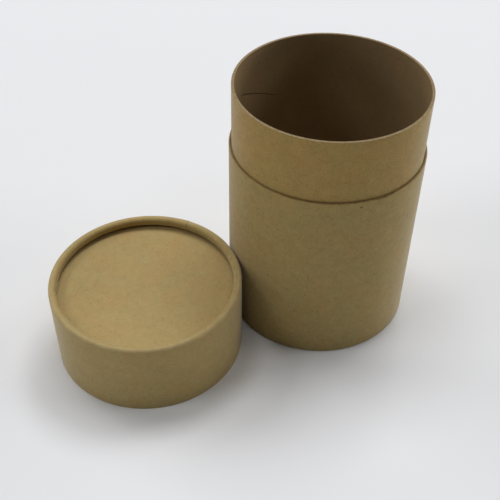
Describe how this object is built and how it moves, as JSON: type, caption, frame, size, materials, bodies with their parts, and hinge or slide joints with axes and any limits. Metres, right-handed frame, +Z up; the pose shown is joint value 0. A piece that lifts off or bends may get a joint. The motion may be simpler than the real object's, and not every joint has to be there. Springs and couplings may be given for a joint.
{
  "type": "cardboard tube with lid",
  "caption": "Upright kraft paperboard tube with a rolled foot and a raised neck, and its lift-off lid with a rolled rim standing beside it.",
  "frame": {"origin": "on the floor, midway between the tube's axis and the lid's axis", "axes": "+Z up along both axes, +X from the lid to the tube"},
  "size_m": [0.1805, 0.09, 0.1246],
  "materials": {
    "shell_board": "matte kraft paper",
    "neck_board": "matte kraft paper",
    "disc_board": "matte kraft paper"
  },
  "bodies": {
    "tube": {"outer_tube": "shell_board", "neck_sleeve": "neck_board", "base_disc": "disc_board"},
    "lid": {"lid_wall": "shell_board", "lid_panel": "disc_board"}
  },
  "joints": [
    {"name": "lid_lift", "type": "slide", "parent": "tube", "child": "lid", "axis": [0, 0, 1], "range_m": [0, 0.135]}
  ]
}
